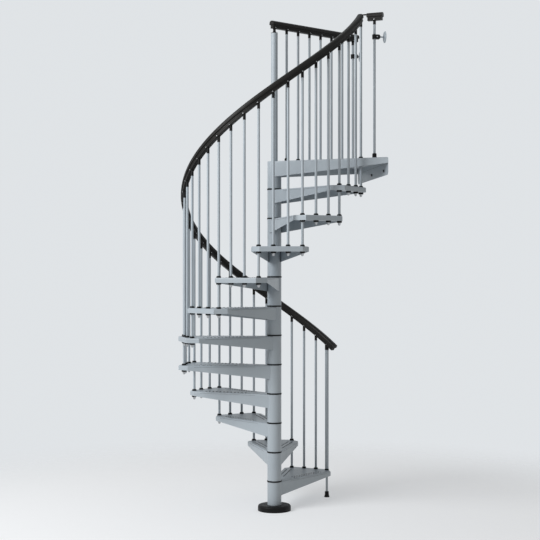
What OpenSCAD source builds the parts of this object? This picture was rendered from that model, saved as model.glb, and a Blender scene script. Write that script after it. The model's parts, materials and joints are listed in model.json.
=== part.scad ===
// Spiral staircase, bolted together round a steel centre post.
// Sizes are in millimetres. The origin is on the floor under the post, +Z is up, and +X points
// square at the wall that carries the landing. The stair climbs counter-clockwise.

/* [Stair layout] */
// Height from one tread to the next
rise = 213; // [195:1:235]
// Height from the last tread to the landing
last_rise = 208; // [195:1:235]
// Number of treads below the landing
tread_count = 11; // [8:1:12]
// Angle that the stair turns from one tread to the next
tread_angle = 26.09; // [22:0.01:30]
// Baluster spaces across one tread
spaces = 3; // [2:1:4]
// Radius of the circle that the tread tips lie on
tip_r = 700; // [600:1:800]

/* [Centre post] */
// Outer diameter of the centre post
post_d = 48.3; // [42:0.1:60]
// Wall of the centre post
post_wall = 3.2; // [2:0.1:5]
// Outer diameter of the hub tube on each tread
hub_d = 101.6; // [92:0.1:115]
// Wall of the hub tube
hub_wall = 3; // [2:0.1:5]
// Thickness of the spacer ring between two hubs
ring_h = 10; // [6:0.5:16]
// How far a spacer ring stands proud of the hub
ring_proud = 2.7; // [1:0.1:6]
// Length of the spigot that centres a ring in each hub
ring_spigot_h = 8; // [4:0.5:20]
// Clearance between pieces that slide together
fit_gap = 0.25; // [0.1:0.05:0.5]

/* [Base] */
// Diameter of the steel base flange
flange_d = 200; // [180:1:220]
// Thickness of the steel base flange
flange_h = 10; // [6:0.5:16]
// Height of the flange's collar that centres the first hub
flange_collar_h = 25; // [15:1:60]
// Circle that the anchor holes lie on
anchor_pcd = 160; // [140:1:170]
// Diameter of an anchor hole
anchor_d = 13; // [9:0.5:16]
// Number of anchor holes
anchor_count = 4; // [3:1:6]
// How far the moulded base cover reaches past the flange
cover_reach = 20.5; // [8:0.5:40]
// Height of the base cover
cover_h = 42; // [30:1:60]
// Wall of the base cover
cover_wall = 4; // [2:0.5:6]
// Rounding of the cover's outer edge
cover_round = 14; // [6:1:20]
// Gap between the cover and the hub
cover_gap = 2.5; // [1:0.5:6]

/* [Treads] */
// Thickness of the folded sheet
sheet = 3; // [2:0.5:4]
// Outside radius of the folds along the top edges
bend_r = 8; // [5:0.5:14]
// How far inside the hub's side a flange meets it
neck_inset = 6; // [3:0.5:15]
// Depth of the side flanges at the hub
neck_h = 100; // [70:1:130]
// Depth of the rim
rim_h = 35; // [28:1:50]
// Reach of the shoulder past the end baluster, across the tread
shoulder_reach = 48; // [36:1:60]
// Length of the corner cut along the tread
corner_cut_u = 82; // [60:1:100]
// Length of the corner cut across the tread
corner_cut_t = 50; // [35:1:65]
// Width of the lip folded in under the rim
lip_w = 72; // [60:1:90]
// Distance of the pressed line on a side flange below the tread's top
line_drop = 11; // [9:0.5:20]
// Width of the pressed line
line_w = 1.6; // [0.8:0.1:2.5]
// Depth of the pressed line and of its dimple
line_depth = 1; // [0.4:0.1:1.5]
// Distance of the pressed line's start from the flange's hub end
line_start = 109; // [60:1:200]
// Distance of the pressed line's end from the flange's outer end
line_end_gap = 52; // [30:1:100]
// Diameter of the dimple at the pressed line's end
dimple_d = 5; // [3:0.5:9]

/* [Balusters] */
// Diameter of a baluster
baluster_d = 18; // [14:0.5:22]
// Distance of the balusters inside the tip circle
baluster_inset = 41.3; // [36:0.1:50]
// Diameter of the start newel above the first tread
newel_d = 28; // [24:0.5:40]
// Diameter of the collars on top of the treads
collar_d = 33; // [28:0.5:40]
// Height of the collars on top of the treads
collar_h = 12; // [8:0.5:20]
// Diameter of the washers under the treads
washer_d = 36; // [30:0.5:42]
// Thickness of the washers under the treads
washer_h = 12; // [5:0.5:16]
// Length of a cap below the spiral handrail
cap_h = 37; // [34:1:50]
// Length of a cap below the landing's handrails
landing_cap_h = 28; // [26:1:50]
// Wall of a cap
cap_wall = 1; // [0.8:0.1:3]
// Depth that a baluster enters its cap or foot
socket_h = 20; // [10:1:24]
// Height of a collar's straight side
collar_side_h = 6; // [3:0.5:8]
// Diameter of a collar's top
collar_top_d = 26; // [23:0.5:27]
// Bevel of a washer's lower edge
washer_bevel = 1.5; // [1:0.5:5]
// Height of the feet on the landing
foot_h = 33; // [28:1:50]
// Diameter of the feet
foot_d = 31; // [29:0.5:36]
// Bevel round the top of the feet
foot_bevel = 4; // [1:0.5:5]
// Height of the foot under the start newel
newel_foot_h = 45; // [38:1:60]
// Diameter of the flare at the bottom of the newel's foot
newel_flare_d = 42; // [38:0.5:60]
// Height of the flare at the bottom of the newel's foot
newel_flare_h = 22; // [10:1:30]

/* [Handrail] */
// Width of the handrail
rail_w = 46; // [40:1:60]
// Height of the handrail
rail_h = 55; // [50:1:70]
// Width of the handrail's lower part
rail_base_w = 32; // [26:1:38]
// Height of the handrail's lower part
rail_base_h = 25; // [16:1:30]
// Rounding of the handrail's top
rail_round = 17; // [8:0.5:19]
// Depth of the grooves along the lower part
groove = 2; // [1:0.5:4]
// How far a straight handrail's crown runs past its lower part
crown_overhang = 5; // [2:0.5:10]
// Height of the handrail's underside over the tread that its baluster passes
rail_clear = 967; // [850:1:1100]
// Length of handrail before the start newel
rail_lead = 58; // [40:1:120]
// Length of handrail past the last baluster
rail_tail = 8; // [6:1:40]
// Width of the link between the two handrails
link_w = 15; // [10:1:20]
// Height of the link between the two handrails
link_h = 8; // [5:0.5:12]
// Height of the link over the handrail's underside
link_z = 42; // [32:1:44]

/* [Landing] */
// Angle between the landing's middle and each of its sides
landing_half = 30; // [25:0.5:40]
// Distance from the circle of the tread tips to the wall
wall_gap = 34; // [25:1:90]
// How far inside the hub's side a landing flange meets it
landing_inset = 3; // [2:0.1:10]
// Thickness of the lid that closes the landing's hub round the post
hub_lid_h = 5; // [4:0.5:10]
// Depth of the landing's side flanges at the hub
landing_neck_h = 113; // [80:1:140]
// Depth of the landing's side flanges at the wall
landing_tip_h = 42; // [30:1:80]
// Depth of the flange against the wall
wall_flange_h = 124; // [100:1:160]
// Cut at the lower corners of the wall flange
wall_corner_cut = 18; // [5:1:40]
// Distance of the wall bolts below the landing's top
wall_bolt_drop = 90; // [70:1:95]
// Distance from one wall bolt to the next
wall_bolt_pitch = 363; // [250:1:400]
// Diameter of a wall bolt's hole
wall_bolt_d = 11; // [8:0.5:14]
// Number of balusters along the back of the landing
back_count = 7; // [4:1:8]
// Distance of the first back baluster from the post's axis
back_first = 116; // [90:1:150]
// Distance of the last back baluster from the wall
back_wall_gap = 60; // [55:1:90]
// Distance of the front landing baluster past the last stair baluster
front_space = 100; // [80:1:110]
// Reach of the back handrail past the post's axis
rail_overhang = 28; // [20:1:60]
// Distance of the back handrail's end from the wall
rail_wall_gap = 8; // [6:1:30]
// Length of the front handrail before its baluster
front_rail_lead = 53; // [45:1:60]
// Length of the front handrail after its baluster
front_rail_tail = 62; // [40:1:70]

/* [Post cap and wall brackets] */
// Height of the post cap below the handrail
post_cap_h = 34; // [28:1:60]
// Height of the post cap's brim
post_cap_brim_h = 3; // [2:0.5:8]
// Height of the hollow flare between the post cap's brim and its neck
post_cap_flare_h = 14; // [6:0.5:18]
// How far the post cap stands proud of the post
post_cap_proud = 0.5; // [0.5:0.5:5]
// Diameter of the post cap's neck
post_neck_d = 20; // [16:0.5:28]
// Height of the wall brackets over the landing
bracket_z = 857; // [700:1:900]
// Height of a bracket's clamp
clamp_h = 32; // [24:1:40]
// Width of a bracket's clamp
clamp_w = 32; // [28:1:40]
// Width of a clamp's arm
clamp_arm_w = 22; // [16:1:26]
// Reach of a clamp from its baluster towards the wall
clamp_reach = 40; // [30:1:43]
// Chamfer at the end of a clamp's arm
clamp_chamfer = 7; // [2:0.5:9]
// Diameter of a bracket's pin
pin_d = 10; // [8:0.5:14]
// Diameter of a bracket's rosette
rosette_d = 82; // [60:1:100]
// Thickness of a rosette
rosette_h = 10; // [6:0.5:11]
// Thickness of a rosette's edge
rosette_edge_h = 3; // [2:0.5:5]
// Diameter of a rosette's flat middle
rosette_flat_d = 22; // [16:1:40]

/* [Hidden] */
$fn = 48;
grey = "#9DA8B1";
black = "#1C1C1E";
slice = 0.01;
through = 1;
bend_steps = 3;
round_steps = 4;
rail_rings_per_space = 2;

// Derived sizes of the layout
wall_x = tip_r + wall_gap;
step_angle = tread_angle / spaces;
baluster_count = spaces * tread_count;
baluster_r = tip_r - baluster_inset;
hub_r = hub_d / 2;
hub_bore = hub_d - 2 * hub_wall;
neck_r = hub_r - hub_wall / 2;
hole_d = baluster_d + 2 * fit_gap;
landing_top = tread_top(tread_count) + last_rise;
landing_rail_z = rail_z(baluster_count);
post_top = landing_rail_z - post_cap_h;
rail_slope = atan2(rise / spaces, baluster_r * step_angle * PI / 180);
degrees_per_mm = 180 / (PI * baluster_r);

// Derived sizes of the tread's outline, along u from the post and across it along t
shoulder_t = baluster_r * sin(tread_angle / 2) + shoulder_reach;
rim_t = shoulder_t - corner_cut_t;
rim_u = sqrt(tip_r * tip_r - rim_t * rim_t);
shoulder_u = rim_u - corner_cut_u;
neck_t = hub_r - neck_inset;
neck_u = sqrt(neck_r * neck_r - neck_t * neck_t);
flange_angle = atan2(shoulder_t - neck_t, shoulder_u - neck_u);
flange_run = norm([shoulder_u - neck_u, shoulder_t - neck_t]);

// Derived sizes of the landing
landing_offset = hub_r - landing_inset;
landing_neck_run = sqrt(neck_r * neck_r - landing_offset * landing_offset);
landing_neck = along(landing_half, landing_neck_run, landing_offset);
landing_corner_y = (landing_offset + wall_x * sin(landing_half)) / cos(landing_half);
back_last = (wall_x - back_wall_gap) / cos(landing_half);
back_pitch = (back_last - back_first) / (back_count - 1);
front_s = baluster_r + front_space;
front_rail_start = front_s - front_rail_lead;

// Places

// Name of a numbered piece, with two digits
function numbered(name, k) = str(name, k < 10 ? "0" : "", k);

// Point at distance s along a direction, and a little to its left
function along(angle, s, left = 0) =
    [s * cos(angle) - left * sin(angle), s * sin(angle) + left * cos(angle)];

// Height of the top of tread k
function tread_top(k) = k * rise - ring_h / 2;

// Direction of baluster n, counted from 0 at the start newel
function baluster_angle(n) = -landing_half - step_angle * (baluster_count - n);

// Height of the handrail's underside at baluster n
function rail_z(n) = tread_top(1) + rail_clear + rise * n / spaces;

// Places of the balusters along the back of the landing
function back_s(i) = back_first + back_pitch * i;

// Places of all the balusters that stand on the landing
landing_spots = concat(
    [for (i = [0:back_count - 1]) along(landing_half, back_s(i))],
    [along(-landing_half, front_s)]
);

// Balusters that a wall bracket holds: the last at the back and the one at the front
bracket_spots = [landing_spots[back_count - 1], landing_spots[back_count]];

module at_baluster(n) {
    rotate([0, 0, baluster_angle(n)]) translate([baluster_r, 0, 0]) children();
}

// Turns a tread's own frame to its place, with u along +X and the tread's top at zero
module at_tread(k) {
    rotate([0, 0, baluster_angle(spaces * (k - 0.5))]) translate([0, 0, tread_top(k)]) children();
}

// Folded sheet

// Block under an outline, with its top edges rounded
module rounded_block(outline, inset, depth, radius) {
    hull() {
        translate([0, 0, -depth]) linear_extrude(slice) offset(delta = -inset) polygon(outline);
        for (i = [0:bend_steps]) {
            a = 90 * i / bend_steps;
            translate([0, 0, radius * (sin(a) - 1) - slice])
                linear_extrude(slice)
                    offset(delta = -inset - radius * (1 - cos(a)))
                        polygon(outline);
        }
    }
}

// Tray open below, as folded from one sheet
module folded_tray(outline, depth) {
    difference() {
        rounded_block(outline, 0, depth, bend_r);
        translate([0, 0, -sheet]) rounded_block(outline, sheet, depth + sheet, bend_r - sheet);
    }
}

// Side view of a tray whose flanges taper from the hub to the tip
module taper(from_u, from_h, to_u, to_h, end_u, half_w) {
    rotate([90, 0, 0])
        linear_extrude(2 * half_w, center = true)
            polygon([[-hub_r, through], [end_u, through], [end_u, -to_h], [to_u, -to_h],
                     [from_u, -from_h], [-hub_r, -from_h]]);
}

// Hub tube under a tray's top, down to a height over the floor
module hub_tube(bottom_z, top_z) {
    translate([0, 0, bottom_z - top_z]) cylinder(d = hub_d, h = top_z - bottom_z);
}

// Inside of a hub tube, from the floor up to a height below the tray's top
module hub_hollow(top_z, lid_h) {
    translate([0, 0, -top_z]) cylinder(d = hub_bore, h = top_z - lid_h);
}

function hub_bottom(k) = k == 1 ? flange_h : (k - 1) * rise + ring_h / 2;

// Base and post

module base_flange() {
    color(grey) difference() {
        union() {
            cylinder(d = flange_d, h = flange_h);
            cylinder(d = hub_bore - 2 * fit_gap, h = flange_h + flange_collar_h);
        }
        translate([0, 0, flange_h])
            cylinder(d = post_d + 2 * fit_gap, h = flange_collar_h + through);
        for (i = [0:anchor_count - 1])
            rotate([0, 0, 360 * (i + 0.5) / anchor_count])
                translate([anchor_pcd / 2, 0, -through])
                    cylinder(d = anchor_d, h = flange_h + 2 * through);
    }
}

module base_cover() {
    outer_r = flange_d / 2 + cover_reach;
    mouth_r = hub_r + cover_gap;
    inner_round = cover_round - cover_wall;
    lip_r = hub_r + fit_gap;
    lip_z = cover_h - cover_wall;
    color(black) rotate_extrude($fn = 96) polygon(concat(
        [[mouth_r, lip_z - cover_wall], [lip_r, lip_z - cover_wall], [lip_r, lip_z],
         [mouth_r, lip_z], [mouth_r, cover_h]],
        [for (i = [round_steps:-1:0])
            [outer_r - cover_round, cover_h - cover_round]
            + cover_round * [cos(90 * i / round_steps), sin(90 * i / round_steps)]],
        [[outer_r, 0], [outer_r - cover_wall, 0]],
        [for (i = [0:round_steps])
            [outer_r - cover_round, cover_h - cover_round]
            + inner_round * [cos(90 * i / round_steps), sin(90 * i / round_steps)]]
    ));
}

module centre_post() {
    color(grey) translate([0, 0, flange_h]) difference() {
        cylinder(d = post_d, h = post_top - flange_h);
        translate([0, 0, -through])
            cylinder(d = post_d - 2 * post_wall, h = post_top - flange_h + 2 * through);
    }
}

module spacer_rings() {
    spigot_d = hub_bore - 2 * fit_gap;
    color(black) for (k = [1:tread_count]) translate([0, 0, k * rise]) difference() {
        union() {
            cylinder(d = hub_d + 2 * ring_proud, h = ring_h, center = true);
            cylinder(d = spigot_d, h = ring_h + 2 * ring_spigot_h, center = true);
        }
        cylinder(d = post_d + 2 * fit_gap, h = ring_h + 2 * ring_spigot_h + 2 * through, center = true);
    }
}

// Treads

function tread_outline() = [
    [neck_u, -neck_t], [shoulder_u, -shoulder_t], [rim_u, -rim_t],
    [rim_u, rim_t], [shoulder_u, shoulder_t], [neck_u, neck_t]
];

// Strip folded in under the rim, which the washers press on
module rim_lip() {
    translate([0, 0, -rim_h]) linear_extrude(sheet) intersection() {
        polygon(tread_outline());
        translate([rim_u - lip_w, -shoulder_t]) square([lip_w, 2 * shoulder_t]);
    }
}

// Cut for the pressed line along the left flange, with a dimple at its outer end
module pressed_line() {
    line_end = flange_run - line_end_gap;
    translate([neck_u, neck_t, -line_drop]) rotate([0, 0, flange_angle]) {
        translate([line_start, -line_depth, -line_w / 2])
            cube([line_end - line_start, line_depth + through, line_w]);
        translate([line_end, through, 0])
            rotate([90, 0, 0]) cylinder(d = dimple_d, h = line_depth + through, $fn = 24);
    }
}

module tread(k) {
    color(grey) at_tread(k) difference() {
        union() {
            intersection() {
                folded_tray(tread_outline(), neck_h);
                taper(neck_u, neck_h, shoulder_u, rim_h, tip_r, shoulder_t + through);
            }
            rim_lip();
            hub_tube(hub_bottom(k), tread_top(k));
        }
        hub_hollow(tread_top(k), -through);
        pressed_line();
        mirror([0, 1, 0]) pressed_line();
        for (i = [0:spaces])
            rotate([0, 0, step_angle * (i - spaces / 2)])
                translate([baluster_r, 0, -rim_h - through])
                    cylinder(d = hole_d, h = rim_h + 2 * through);
    }
}

// Landing

// Outline of the tray, whose end laps the inside of the wall flange
function landing_outline() = [
    [landing_neck[0], -landing_neck[1]], [wall_x - sheet / 2, -landing_corner_y],
    [wall_x - sheet / 2, landing_corner_y], [landing_neck[0], landing_neck[1]]
];

// Flange that bolts to the wall, with its lower corners cut
module wall_flange() {
    half = landing_corner_y - bend_r;
    translate([wall_x, 0, 0]) rotate([90, 0, -90]) linear_extrude(sheet) polygon([
        [-half, -bend_r], [-half, wall_corner_cut - wall_flange_h],
        [wall_corner_cut - half, -wall_flange_h], [half - wall_corner_cut, -wall_flange_h],
        [half, wall_corner_cut - wall_flange_h], [half, -bend_r]
    ]);
}

module landing() {
    color(grey) translate([0, 0, landing_top]) difference() {
        union() {
            intersection() {
                folded_tray(landing_outline(), landing_neck_h);
                taper(0, landing_neck_h, wall_x, landing_tip_h, wall_x + through,
                      landing_corner_y + through);
            }
            wall_flange();
            hub_tube(hub_bottom(tread_count + 1), landing_top);
        }
        hub_hollow(landing_top, hub_lid_h);
        translate([0, 0, -hub_lid_h - through])
            cylinder(d = post_d + 2 * fit_gap, h = hub_lid_h + 2 * through);
        rotate([0, 0, -landing_half]) translate([baluster_r, 0, -sheet - through])
            cylinder(d = hole_d, h = sheet + 2 * through);
        for (i = [-1:1])
            translate([wall_x - sheet - through, i * wall_bolt_pitch, -wall_bolt_drop])
                rotate([0, 90, 0]) cylinder(d = wall_bolt_d, h = sheet + 2 * through);
    }
}

// Balusters and their fittings

// Height at which the rod of baluster n ends inside its cap
function rod_top(n) = rail_z(n) - cap_h + socket_h - fit_gap;

module balusters(k) {
    bottom = tread_top(k) - rim_h - washer_h;
    color(grey) for (n = [spaces * (k - 1) + 1 : spaces * k])
        at_baluster(n) translate([0, 0, bottom]) cylinder(d = baluster_d, h = rod_top(n) - bottom);
}

// First post of the balustrade: a slim leg up through the first tread, and a stout post above it
module start_newel() {
    leg_bottom = newel_foot_h - socket_h + fit_gap;
    shoulder = tread_top(1) + collar_h;
    color(grey) at_baluster(0) {
        translate([0, 0, leg_bottom]) cylinder(d = baluster_d, h = shoulder - leg_bottom + through);
        translate([0, 0, shoulder]) cylinder(d = newel_d, h = rod_top(0) - shoulder);
    }
}

// Foot with a bevelled top and a socket for a rod, and with a flare where one is given
module foot(height) {
    side_h = height - foot_bevel;
    difference() {
        union() {
            cylinder(d = foot_d, h = side_h);
            translate([0, 0, side_h])
                cylinder(d1 = foot_d, d2 = foot_d - 2 * foot_bevel, h = foot_bevel);
            children();
        }
        translate([0, 0, height - socket_h]) cylinder(d = hole_d, h = socket_h + through);
    }
}

module newel_foot() {
    color(black) at_baluster(0) foot(newel_foot_h)
        cylinder(d1 = newel_flare_d, d2 = foot_d, h = newel_flare_h);
}

module upper_collar() {
    rotate_extrude() polygon([
        [hole_d / 2, 0], [collar_d / 2, 0], [collar_d / 2, collar_side_h],
        [collar_top_d / 2, collar_h], [hole_d / 2, collar_h]
    ]);
}

module upper_collars() {
    color(black) {
        for (k = [1:tread_count], i = [0:spaces])
            at_baluster(spaces * (k - 1) + i) translate([0, 0, tread_top(k)]) upper_collar();
        at_baluster(baluster_count) translate([0, 0, landing_top]) upper_collar();
    }
}

module lower_washer() {
    rotate_extrude() polygon([
        [hole_d / 2, 0], [washer_d / 2 - washer_bevel, 0], [washer_d / 2, washer_bevel],
        [washer_d / 2, washer_h], [hole_d / 2, washer_h]
    ]);
}

module lower_washers() {
    color(black) {
        for (k = [1:tread_count], i = [0:spaces])
            at_baluster(spaces * (k - 1) + i)
                translate([0, 0, tread_top(k) - rim_h - washer_h]) lower_washer();
        at_baluster(baluster_count) translate([0, 0, landing_top - sheet - washer_h]) lower_washer();
    }
}

// Cap over a rod's end, cut along its top to sit under a rail of the given slope
module rod_cap(rod_d, length, slope) {
    bore = rod_d + 2 * fit_gap;
    width = bore + 2 * cap_wall;
    difference() {
        translate([0, 0, -length]) cylinder(d = width, h = length + width);
        translate([0, 0, -length - through]) cylinder(d = bore, h = socket_h + through);
        rotate([slope, 0, 0])
            translate([-width, -2 * width, -fit_gap]) cube([2 * width, 4 * width, 3 * width]);
    }
}

module baluster_caps() {
    color(black) for (n = [0:baluster_count])
        at_baluster(n) translate([0, 0, rail_z(n)])
            rod_cap(n == 0 ? newel_d : baluster_d, cap_h, rail_slope);
}

// Handrails

// Right side of the handrail's lower part, from its underside up to a height
function base_side(top) = [
    [rail_base_w / 2, 0], [rail_base_w / 2, rail_base_h / 2 - groove],
    [rail_base_w / 2 - groove, rail_base_h / 2], [rail_base_w / 2, rail_base_h / 2 + groove],
    [rail_base_w / 2, top]
];

// Right side of the handrail's crown, from its underside to its top
function crown_side() = concat(
    [[rail_w / 2, rail_base_h]],
    [for (i = [0:round_steps])
        [rail_w / 2 - rail_round, rail_h - rail_round]
        + rail_round * [cos(90 * i / round_steps), sin(90 * i / round_steps)]]
);

// Section between a right side and its mirror image, counter-clockwise
function section_of(right) =
    concat(right, [for (i = [len(right) - 1:-1:0]) [-right[i][0], right[i][1]]]);

// Point of the section at baluster place n, square to the climbing path
function rail_point(n, p) = let (a = baluster_angle(n))
    [(baluster_r + p[0]) * cos(a) + p[1] * sin(rail_slope) * sin(a),
     (baluster_r + p[0]) * sin(a) - p[1] * sin(rail_slope) * cos(a),
     rail_z(n) + p[1] * cos(rail_slope)];

// Baluster place at a distance along the path from baluster n
function rail_place(n, distance) = n + distance * degrees_per_mm / step_angle;

module spiral_handrail() {
    section = section_of(concat(base_side(rail_base_h), crown_side()));
    m = len(section);
    first = rail_place(0, -rail_lead);
    last = rail_place(baluster_count, rail_tail);
    rings = ceil((last - first) * rail_rings_per_space);
    points = [for (i = [0:rings], p = section) rail_point(first + (last - first) * i / rings, p)];
    sides = [for (i = [0:rings - 1], j = [0:m - 1], half = [0, 1])
        let (a = i * m + j, b = i * m + (j + 1) % m)
        half == 0 ? [a, a + m, b] : [b, a + m, b + m]];
    start_face = [for (j = [0:m - 1]) j];
    end_face = [for (j = [m - 1:-1:0]) rings * m + j];
    color(black) polyhedron(points, concat(sides, [start_face, end_face]));
}

// Length of a profile along +X
module profile(from_s, to_s, right) {
    translate([from_s, 0, 0])
        rotate([90, 0, 90]) linear_extrude(to_s - from_s) polygon(section_of(right));
}

// Straight handrail along +X, with its underside at zero
module straight_rail(from_s, to_s) {
    profile(from_s, to_s, crown_side());
    profile(from_s + crown_overhang, to_s - crown_overhang, base_side(rail_base_h + through));
}

module landing_handrail_back() {
    end_s = (wall_x - rail_wall_gap) / cos(landing_half) - rail_w / 2 * tan(landing_half);
    color(black) translate([0, 0, landing_rail_z]) rotate([0, 0, landing_half])
        straight_rail(-rail_overhang, end_s);
}

module landing_handrail_front() {
    color(black) translate([0, 0, landing_rail_z]) rotate([0, 0, -landing_half])
        straight_rail(front_rail_start, front_s + front_rail_tail);
}

// Short link from the end face of the spiral handrail to the start face of the front one
module handrail_link() {
    plate = 1;
    side = rail_w / 2 - rail_round / 2 - link_w;
    end = rail_place(baluster_count, rail_tail);
    color(black) hull() {
        at_baluster(end) translate([0, 0, rail_z(end)]) rotate([rail_slope, 0, 0])
            translate([side, fit_gap, link_z]) cube([link_w, plate, link_h]);
        translate([0, 0, landing_rail_z]) rotate([0, 0, -landing_half])
            translate([front_rail_start - plate - fit_gap, -link_w / 2, link_z])
                cube([plate, link_w, link_h]);
    }
}

// Landing balustrade

module landing_balusters() {
    bottom = landing_top + foot_h - socket_h + fit_gap;
    top = landing_rail_z - landing_cap_h + socket_h - fit_gap;
    color(grey) for (p = landing_spots)
        translate([p[0], p[1], bottom]) cylinder(d = baluster_d, h = top - bottom);
}

module landing_feet() {
    color(black) for (p = landing_spots) translate([p[0], p[1], landing_top])
        foot(foot_h);
}

module landing_caps() {
    color(black) for (p = landing_spots) translate([p[0], p[1], landing_rail_z])
        rod_cap(baluster_d, landing_cap_h, 0);
}

module post_cap() {
    plug_r = post_d / 2 - post_wall - fit_gap;
    brim_r = post_d / 2 + post_cap_proud;
    stem_r = post_neck_d / 2;
    top = post_cap_h - fit_gap;
    color(black) translate([0, 0, post_top]) rotate_extrude() polygon(concat(
        [[0, -socket_h], [plug_r, -socket_h], [plug_r, 0], [brim_r, 0]],
        [for (i = [0:round_steps]) let (a = 90 * i / round_steps)
            [stem_r + (brim_r - stem_r) * (1 - sin(a)),
             post_cap_brim_h + post_cap_flare_h * (1 - cos(a))]],
        [[stem_r, top], [0, top]]
    ));
}

// Wall brackets

module wall_clamps() {
    color(black) for (p = bracket_spots) translate([p[0], p[1], landing_top + bracket_z]) difference() {
        union() {
            cylinder(d = clamp_w, h = clamp_h, center = true);
            rotate([90, 0, 0]) linear_extrude(clamp_arm_w, center = true) polygon([
                [0, -clamp_h / 2], [clamp_reach - clamp_chamfer, -clamp_h / 2],
                [clamp_reach, clamp_chamfer - clamp_h / 2], [clamp_reach, clamp_h / 2 - clamp_chamfer],
                [clamp_reach - clamp_chamfer, clamp_h / 2], [0, clamp_h / 2]
            ]);
        }
        cylinder(d = hole_d, h = clamp_h + 2 * through, center = true);
        translate([clamp_w / 2, 0, 0])
            rotate([0, 90, 0]) cylinder(d = pin_d + 2 * fit_gap, h = clamp_reach);
    }
}

// Domed disc on the wall, with the pin that reaches into the clamp
module wall_rosettes() {
    flat_r = rosette_flat_d / 2;
    dome_h = rosette_h - rosette_edge_h;
    color(grey) for (p = bracket_spots) {
        pin_end = wall_x - p[0] - clamp_w / 2 - fit_gap;
        translate([wall_x, p[1], landing_top + bracket_z]) rotate([0, -90, 0]) rotate_extrude()
            polygon(concat(
                [[0, 0], [rosette_d / 2, 0]],
                [for (i = [0:round_steps]) let (a = 90 * i / round_steps)
                    [flat_r + (rosette_d / 2 - flat_r) * cos(a), rosette_edge_h + dome_h * sin(a)]],
                [[pin_d / 2, rosette_h], [pin_d / 2, pin_end], [0, pin_end]]
            ));
    }
}

base_flange();
base_cover();
centre_post();
spacer_rings();
for (k = [1:tread_count]) {
    tread(k);
    balusters(k);
}
landing();
start_newel();
newel_foot();
upper_collars();
lower_washers();
baluster_caps();
spiral_handrail();
landing_balusters();
landing_feet();
landing_caps();
landing_handrail_back();
landing_handrail_front();
handrail_link();
post_cap();
wall_clamps();
wall_rosettes();
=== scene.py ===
# %% [markdown]
# # A spiral staircase, dressed for its photograph
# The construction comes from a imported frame: treads, hubs, post and balusters at their real size.
# This lesson gives them their finish and adds what is too fine for the construction: the smooth moulded
# handrail, the anti-slip studs on the treads, and the nuts, screws and bolts.

# %% Load the frame
import json
from math import atan2, ceil, cos, hypot, radians, sin

import bmesh
import bpy
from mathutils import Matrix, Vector


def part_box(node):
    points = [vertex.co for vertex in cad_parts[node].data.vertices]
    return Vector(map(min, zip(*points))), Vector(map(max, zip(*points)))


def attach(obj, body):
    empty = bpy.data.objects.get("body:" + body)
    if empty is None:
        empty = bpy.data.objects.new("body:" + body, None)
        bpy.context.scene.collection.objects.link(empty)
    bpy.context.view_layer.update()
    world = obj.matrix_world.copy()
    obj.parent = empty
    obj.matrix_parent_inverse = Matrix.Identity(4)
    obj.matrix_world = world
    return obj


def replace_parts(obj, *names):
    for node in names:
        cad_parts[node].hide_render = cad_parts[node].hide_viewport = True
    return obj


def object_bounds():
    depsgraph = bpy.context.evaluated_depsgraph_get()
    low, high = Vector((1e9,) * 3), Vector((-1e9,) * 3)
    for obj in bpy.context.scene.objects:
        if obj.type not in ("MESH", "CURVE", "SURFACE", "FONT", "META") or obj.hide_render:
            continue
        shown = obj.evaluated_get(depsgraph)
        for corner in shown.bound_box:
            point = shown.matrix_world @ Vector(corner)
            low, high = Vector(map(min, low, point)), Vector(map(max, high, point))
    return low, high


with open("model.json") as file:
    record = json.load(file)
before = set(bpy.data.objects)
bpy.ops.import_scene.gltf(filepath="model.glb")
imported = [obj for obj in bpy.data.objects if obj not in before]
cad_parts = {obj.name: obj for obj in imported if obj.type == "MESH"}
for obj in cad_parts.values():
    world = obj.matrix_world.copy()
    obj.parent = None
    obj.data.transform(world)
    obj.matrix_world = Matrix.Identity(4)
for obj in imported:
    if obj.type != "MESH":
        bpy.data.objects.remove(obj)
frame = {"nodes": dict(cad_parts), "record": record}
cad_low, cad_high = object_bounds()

scene = bpy.context.scene
print("CAD box", [round(v, 3) for v in (*cad_low, *cad_high)])

# %% [markdown]
# ## The stair's layout
# Every piece below sits on the spiral. Placed one by one, their small errors would add up, so the rule of the
# spiral is worked out once. The heights come from the boxes of the treads, and the circle that the balusters
# stand on from the box of the start newel. Only the counts and the angle that the stair turns from one tread
# to the next are written here, because no box shows them.

# %% Layout of the spiral
MM = 0.001
TREADS = 11
SPACES = 3
TURN = radians(26.09)
BALUSTERS = SPACES * TREADS

tread_tops = [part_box(f"tread_{k:02d}")[1].z for k in range(1, TREADS + 1)]
rise = tread_tops[1] - tread_tops[0]
newel_low, newel_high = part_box("start_newel")
newel_middle = (newel_low + newel_high) / 2
baluster_r = hypot(newel_middle.x, newel_middle.y)
first_angle = atan2(newel_middle.y, newel_middle.x)
print(f"rise {rise / MM:.0f} mm, balusters on a circle of {baluster_r / MM:.1f} mm")

# %% Places on the spiral
QUARTER_TURN = radians(90)


def baluster_angle(n):
    """Angle of baluster n round the post, counted from 0 at the start newel."""
    return first_angle + TURN * n / SPACES


def tread_angle(k):
    """Angle of the middle of tread k round the post, counted from 1."""
    return baluster_angle(SPACES * (k - 0.5))


def on_circle(angle, radius, z):
    """Point at an angle, a radius and a height round the post."""
    return Vector((radius * cos(angle), radius * sin(angle), z))


def direction(angle):
    """Level direction away from the post at an angle."""
    return on_circle(angle, 1.0, 0.0)


print("first tread points to", [round(v, 3) for v in direction(tread_angle(1))])

# %% [markdown]
# ## Helpers for materials
# A procedural material is a handful of nodes. They could be placed and wired by hand in the node editor.
# Small helpers do the same in a line each: they add a node, fill or link its sockets, and start a material
# with its Principled shader. All patterns read Object coordinates, so one metre in the pattern is one metre.

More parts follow.
